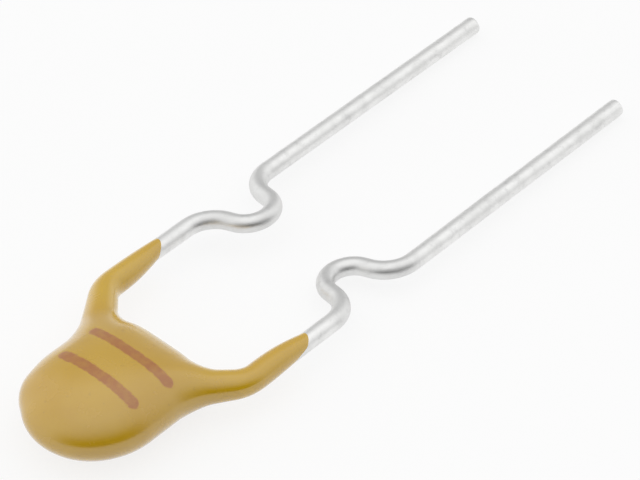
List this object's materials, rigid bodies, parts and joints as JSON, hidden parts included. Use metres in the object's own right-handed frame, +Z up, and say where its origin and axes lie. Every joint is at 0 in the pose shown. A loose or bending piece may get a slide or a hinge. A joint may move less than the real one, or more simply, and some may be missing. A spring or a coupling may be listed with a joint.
{
  "type": "resettable fuse",
  "caption": "Radial resettable fuse: a lens-shaped dipped epoxy body over a polymer disc, with kinked tinned wire leads for a circuit board.",
  "frame": {"origin": "on the surface that the part lies on, under the middle of its box", "axes": "+X from the body towards the lead tips, +Y towards the lead on the disc's upper face, +Z up"},
  "size_m": [0.0204, 0.0058, 0.002],
  "materials": {
    "epoxy": "ochre dipped epoxy, satin gloss",
    "tinned_wire": "bright tin plate on copper wire",
    "polymer": "black carbon-filled polymer",
    "foil": "matt nickel foil",
    "solder": "dull solder"
  },
  "bodies": {
    "root": {"epoxy_coating": "epoxy", "left_lead": "tinned_wire", "right_lead": "tinned_wire", "polymer_disc": "polymer", "upper_foil": "foil", "lower_foil": "foil", "upper_solder": "solder", "lower_solder": "solder"}
  },
  "joints": []
}
